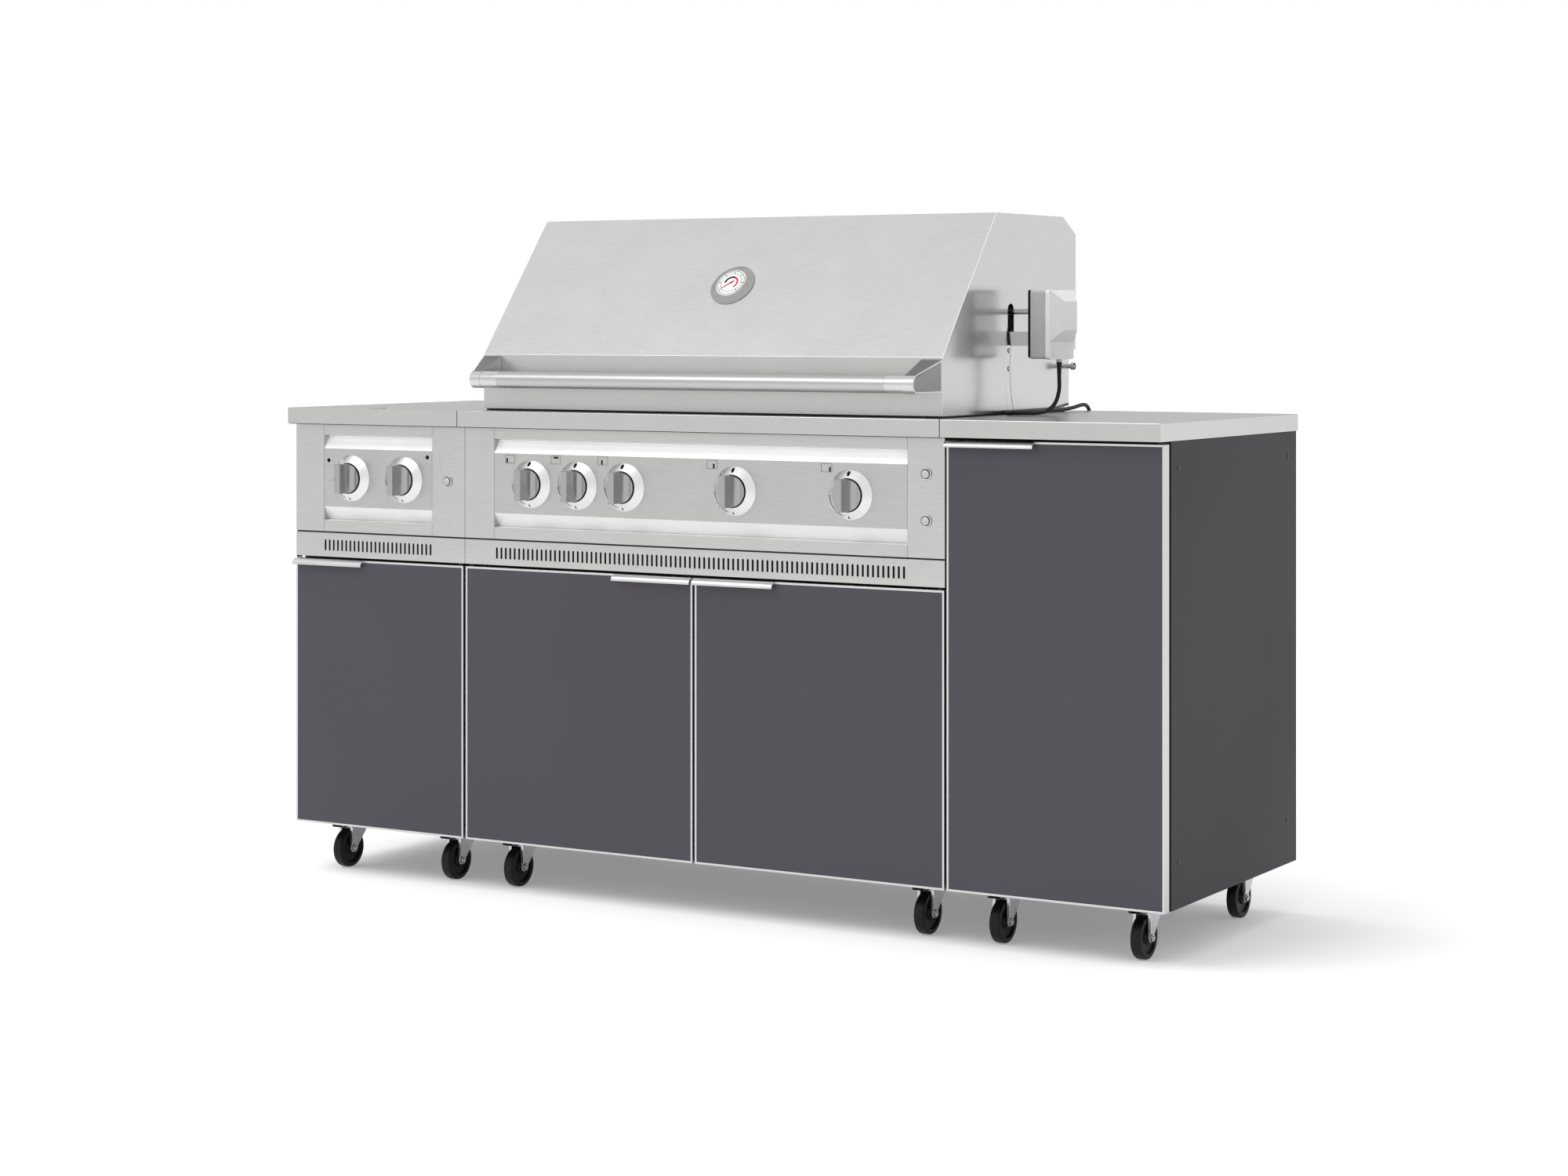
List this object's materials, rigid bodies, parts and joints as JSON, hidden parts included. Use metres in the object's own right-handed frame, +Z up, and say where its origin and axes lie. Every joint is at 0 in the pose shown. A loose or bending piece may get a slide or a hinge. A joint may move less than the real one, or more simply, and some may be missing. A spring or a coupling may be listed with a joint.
{
  "type": "outdoor kitchen island",
  "caption": "Steel outdoor kitchen on casters: hinged grill hood, knobs, side burner under a flush lid, cabinet doors and a motor-driven spit.",
  "frame": {"origin": "on the floor, under the centre of the bounding box without the cord and plug", "axes": "+X along the island to the right as seen from the front, +Y to the rear, +Z up"},
  "size_m": [1.87, 0.6988, 1.2815],
  "materials": {
    "worktop_steel": "brushed along its length",
    "fascia_steel": "brushed along its length",
    "hood_steel": "brushed along its length",
    "handle_steel": "polished ends, knurled grip",
    "gauge_metal": "brushed bezel round a pale dial",
    "knob_metal": "satin",
    "button_metal": "satin",
    "carcass_paint": "satin powder coat, dark grey",
    "door_paint": "satin powder coat, dark grey, in a bright frame",
    "firebox_steel": "plain mill finish",
    "burner_steel": "plain mill finish",
    "grate_iron": "seasoned, matt",
    "motor_shell": "light grey, fine texture",
    "spit_steel": "bright",
    "pan_steel": "plain mill finish",
    "lid_steel": "brushed along its length",
    "cord_rubber": "smooth, satin",
    "plug_rubber": "satin",
    "fork_zinc": "zinc plated",
    "wheel_rubber": "satin, black"
  },
  "bodies": {
    "island": {"cabinet_left": "carcass_paint", "cabinet_center": "carcass_paint", "cabinet_right": "carcass_paint", "worktop_left": "worktop_steel", "worktop_center": "worktop_steel", "worktop_right": "worktop_steel", "control_panel_left": "fascia_steel", "control_panel_center": "fascia_steel", "vent_panel_left": "fascia_steel", "vent_panel_center": "fascia_steel", "firebox": "firebox_steel", "burners": "burner_steel", "cooking_grate": "grate_iron", "rotisserie_motor": "motor_shell", "side_burner": "pan_steel", "power_cord": "cord_rubber", "plug": "plug_rubber"},
    "hood": {"hood": "hood_steel", "hood_handle": "handle_steel", "thermometer": "gauge_metal"},
    "side_burner_lid": {"side_burner_lid": "lid_steel"},
    "spit_rod": {"spit_rod": "spit_steel"},
    "door_left": {"door_left": "door_paint"},
    "door_center_left": {"door_center_left": "door_paint"},
    "door_center_right": {"door_center_right": "door_paint"},
    "door_right": {"door_right": "door_paint"},
    "knob_left_1": {"knob_left_1": "knob_metal"},
    "knob_left_2": {"knob_left_2": "knob_metal"},
    "knob_center_1": {"knob_center_1": "knob_metal"},
    "knob_center_2": {"knob_center_2": "knob_metal"},
    "knob_center_3": {"knob_center_3": "knob_metal"},
    "knob_center_4": {"knob_center_4": "knob_metal"},
    "knob_center_5": {"knob_center_5": "knob_metal"},
    "igniter_button_left": {"igniter_button_left": "button_metal"},
    "igniter_button_upper": {"igniter_button_upper": "button_metal"},
    "igniter_button_lower": {"igniter_button_lower": "button_metal"},
    "fork_left_front_1": {"caster_fork_left_front_1": "fork_zinc"},
    "wheel_left_front_1": {"caster_wheel_left_front_1": "wheel_rubber"},
    "fork_left_front_2": {"caster_fork_left_front_2": "fork_zinc"},
    "wheel_left_front_2": {"caster_wheel_left_front_2": "wheel_rubber"},
    "fork_left_rear_1": {"caster_fork_left_rear_1": "fork_zinc"},
    "wheel_left_rear_1": {"caster_wheel_left_rear_1": "wheel_rubber"},
    "fork_left_rear_2": {"caster_fork_left_rear_2": "fork_zinc"},
    "wheel_left_rear_2": {"caster_wheel_left_rear_2": "wheel_rubber"},
    "fork_center_front_1": {"caster_fork_center_front_1": "fork_zinc"},
    "wheel_center_front_1": {"caster_wheel_center_front_1": "wheel_rubber"},
    "fork_center_front_2": {"caster_fork_center_front_2": "fork_zinc"},
    "wheel_center_front_2": {"caster_wheel_center_front_2": "wheel_rubber"},
    "fork_center_rear_1": {"caster_fork_center_rear_1": "fork_zinc"},
    "wheel_center_rear_1": {"caster_wheel_center_rear_1": "wheel_rubber"},
    "fork_center_rear_2": {"caster_fork_center_rear_2": "fork_zinc"},
    "wheel_center_rear_2": {"caster_wheel_center_rear_2": "wheel_rubber"},
    "fork_right_front_1": {"caster_fork_right_front_1": "fork_zinc"},
    "wheel_right_front_1": {"caster_wheel_right_front_1": "wheel_rubber"},
    "fork_right_front_2": {"caster_fork_right_front_2": "fork_zinc"},
    "wheel_right_front_2": {"caster_wheel_right_front_2": "wheel_rubber"},
    "fork_right_rear_1": {"caster_fork_right_rear_1": "fork_zinc"},
    "wheel_right_rear_1": {"caster_wheel_right_rear_1": "wheel_rubber"},
    "fork_right_rear_2": {"caster_fork_right_rear_2": "fork_zinc"},
    "wheel_right_rear_2": {"caster_wheel_right_rear_2": "wheel_rubber"}
  },
  "joints": [
    {"name": "hood_hinge", "type": "hinge", "parent": "island", "child": "hood", "pos_m": [0, 0.23165, 1], "axis": [-1, 0, 0], "range_deg": [0, 90]},
    {"name": "side_burner_lid_hinge", "type": "hinge", "parent": "island", "child": "side_burner_lid", "pos_m": [-0.7275, 0.25165, 0.9074], "axis": [-1, 0, 0], "range_deg": [0, 95]},
    {"name": "door_left_hinge", "type": "hinge", "parent": "island", "child": "door_left", "pos_m": [-0.531, -0.26935, 0.35575], "axis": [0, 0, 1], "range_deg": [0, 85]},
    {"name": "door_center_left_hinge", "type": "hinge", "parent": "island", "child": "door_center_left", "pos_m": [-0.505, -0.26935, 0.35575], "axis": [0, 0, -1], "range_deg": [0, 90]},
    {"name": "door_center_right_hinge", "type": "hinge", "parent": "island", "child": "door_center_right", "pos_m": [0.5072, -0.26935, 0.35575], "axis": [0, 0, 1], "range_deg": [0, 90]},
    {"name": "door_right_hinge", "type": "hinge", "parent": "island", "child": "door_right", "pos_m": [0.922, -0.26935, 0.4867], "axis": [0, 0, 1], "range_deg": [0, 90]},
    {"name": "knob_left_1_turn", "type": "hinge", "parent": "island", "child": "knob_left_1", "pos_m": [-0.7952, -0.27635, 0.7771], "axis": [0, -1, 0], "range_deg": [0, 180]},
    {"name": "knob_left_2_turn", "type": "hinge", "parent": "island", "child": "knob_left_2", "pos_m": [-0.666, -0.27635, 0.7771], "axis": [0, -1, 0], "range_deg": [0, 180]},
    {"name": "knob_center_1_turn", "type": "hinge", "parent": "island", "child": "knob_center_1", "pos_m": [-0.36409, -0.27635, 0.7771], "axis": [0, -1, 0], "range_deg": [0, 180]},
    {"name": "knob_center_2_turn", "type": "hinge", "parent": "island", "child": "knob_center_2", "pos_m": [-0.25854, -0.27635, 0.7771], "axis": [0, -1, 0], "range_deg": [0, 180]},
    {"name": "knob_center_3_turn", "type": "hinge", "parent": "island", "child": "knob_center_3", "pos_m": [-0.1529, -0.27635, 0.7771], "axis": [0, -1, 0], "range_deg": [0, 180]},
    {"name": "knob_center_4_turn", "type": "hinge", "parent": "island", "child": "knob_center_4", "pos_m": [0.08768, -0.27635, 0.7771], "axis": [0, -1, 0], "range_deg": [0, 180]},
    {"name": "knob_center_5_turn", "type": "hinge", "parent": "island", "child": "knob_center_5", "pos_m": [0.32834, -0.27635, 0.7771], "axis": [0, -1, 0], "range_deg": [0, 180]},
    {"name": "igniter_button_left_press", "type": "slide", "parent": "island", "child": "igniter_button_left", "axis": [0, 1, 0], "range_m": [0, 0.004], "stiffness_N_per_m": 400},
    {"name": "igniter_button_upper_press", "type": "slide", "parent": "island", "child": "igniter_button_upper", "axis": [0, 1, 0], "range_m": [0, 0.004], "stiffness_N_per_m": 400},
    {"name": "igniter_button_lower_press", "type": "slide", "parent": "island", "child": "igniter_button_lower", "axis": [0, 1, 0], "range_m": [0, 0.004], "stiffness_N_per_m": 400},
    {"name": "spit_spin", "type": "hinge", "parent": "island", "child": "spit_rod", "pos_m": [0, 0.02565, 1.102], "axis": [1, 0, 0], "continuous": true},
    {"name": "swivel_left_front_1", "type": "hinge", "parent": "island", "child": "fork_left_front_1", "pos_m": [-0.861, -0.17635, 0.095], "axis": [0, 0, 1], "continuous": true},
    {"name": "roll_left_front_1", "type": "hinge", "parent": "fork_left_front_1", "child": "wheel_left_front_1", "pos_m": [-0.861, -0.20335, 0.0375], "axis": [1, 0, 0], "continuous": true},
    {"name": "swivel_left_front_2", "type": "hinge", "parent": "island", "child": "fork_left_front_2", "pos_m": [-0.594, -0.17635, 0.095], "axis": [0, 0, 1], "continuous": true},
    {"name": "roll_left_front_2", "type": "hinge", "parent": "fork_left_front_2", "child": "wheel_left_front_2", "pos_m": [-0.594, -0.20335, 0.0375], "axis": [1, 0, 0], "continuous": true},
    {"name": "swivel_left_rear_1", "type": "hinge", "parent": "island", "child": "fork_left_rear_1", "pos_m": [-0.861, 0.24415, 0.095], "axis": [0, 0, 1], "continuous": true},
    {"name": "roll_left_rear_1", "type": "hinge", "parent": "fork_left_rear_1", "child": "wheel_left_rear_1", "pos_m": [-0.861, 0.21715, 0.0375], "axis": [1, 0, 0], "continuous": true},
    {"name": "swivel_left_rear_2", "type": "hinge", "parent": "island", "child": "fork_left_rear_2", "pos_m": [-0.594, 0.24415, 0.095], "axis": [0, 0, 1], "continuous": true},
    {"name": "roll_left_rear_2", "type": "hinge", "parent": "fork_left_rear_2", "child": "wheel_left_rear_2", "pos_m": [-0.594, 0.21715, 0.0375], "axis": [1, 0, 0], "continuous": true},
    {"name": "swivel_center_front_1", "type": "hinge", "parent": "island", "child": "fork_center_front_1", "pos_m": [-0.445, -0.17635, 0.095], "axis": [0, 0, 1], "continuous": true},
    {"name": "roll_center_front_1", "type": "hinge", "parent": "fork_center_front_1", "child": "wheel_center_front_1", "pos_m": [-0.445, -0.20335, 0.0375], "axis": [1, 0, 0], "continuous": true},
    {"name": "swivel_center_front_2", "type": "hinge", "parent": "island", "child": "fork_center_front_2", "pos_m": [0.445, -0.17635, 0.095], "axis": [0, 0, 1], "continuous": true},
    {"name": "roll_center_front_2", "type": "hinge", "parent": "fork_center_front_2", "child": "wheel_center_front_2", "pos_m": [0.445, -0.20335, 0.0375], "axis": [1, 0, 0], "continuous": true},
    {"name": "swivel_center_rear_1", "type": "hinge", "parent": "island", "child": "fork_center_rear_1", "pos_m": [-0.445, 0.24415, 0.095], "axis": [0, 0, 1], "continuous": true},
    {"name": "roll_center_rear_1", "type": "hinge", "parent": "fork_center_rear_1", "child": "wheel_center_rear_1", "pos_m": [-0.445, 0.21715, 0.0375], "axis": [1, 0, 0], "continuous": true},
    {"name": "swivel_center_rear_2", "type": "hinge", "parent": "island", "child": "fork_center_rear_2", "pos_m": [0.445, 0.24415, 0.095], "axis": [0, 0, 1], "continuous": true},
    {"name": "roll_center_rear_2", "type": "hinge", "parent": "fork_center_rear_2", "child": "wheel_center_rear_2", "pos_m": [0.445, 0.21715, 0.0375], "axis": [1, 0, 0], "continuous": true},
    {"name": "swivel_right_front_1", "type": "hinge", "parent": "island", "child": "fork_right_front_1", "pos_m": [0.594, -0.17635, 0.095], "axis": [0, 0, 1], "continuous": true},
    {"name": "roll_right_front_1", "type": "hinge", "parent": "fork_right_front_1", "child": "wheel_right_front_1", "pos_m": [0.594, -0.20335, 0.0375], "axis": [1, 0, 0], "continuous": true},
    {"name": "swivel_right_front_2", "type": "hinge", "parent": "island", "child": "fork_right_front_2", "pos_m": [0.861, -0.17635, 0.095], "axis": [0, 0, 1], "continuous": true},
    {"name": "roll_right_front_2", "type": "hinge", "parent": "fork_right_front_2", "child": "wheel_right_front_2", "pos_m": [0.861, -0.20335, 0.0375], "axis": [1, 0, 0], "continuous": true},
    {"name": "swivel_right_rear_1", "type": "hinge", "parent": "island", "child": "fork_right_rear_1", "pos_m": [0.594, 0.24415, 0.095], "axis": [0, 0, 1], "continuous": true},
    {"name": "roll_right_rear_1", "type": "hinge", "parent": "fork_right_rear_1", "child": "wheel_right_rear_1", "pos_m": [0.594, 0.21715, 0.0375], "axis": [1, 0, 0], "continuous": true},
    {"name": "swivel_right_rear_2", "type": "hinge", "parent": "island", "child": "fork_right_rear_2", "pos_m": [0.861, 0.24415, 0.095], "axis": [0, 0, 1], "continuous": true},
    {"name": "roll_right_rear_2", "type": "hinge", "parent": "fork_right_rear_2", "child": "wheel_right_rear_2", "pos_m": [0.861, 0.21715, 0.0375], "axis": [1, 0, 0], "continuous": true}
  ]
}
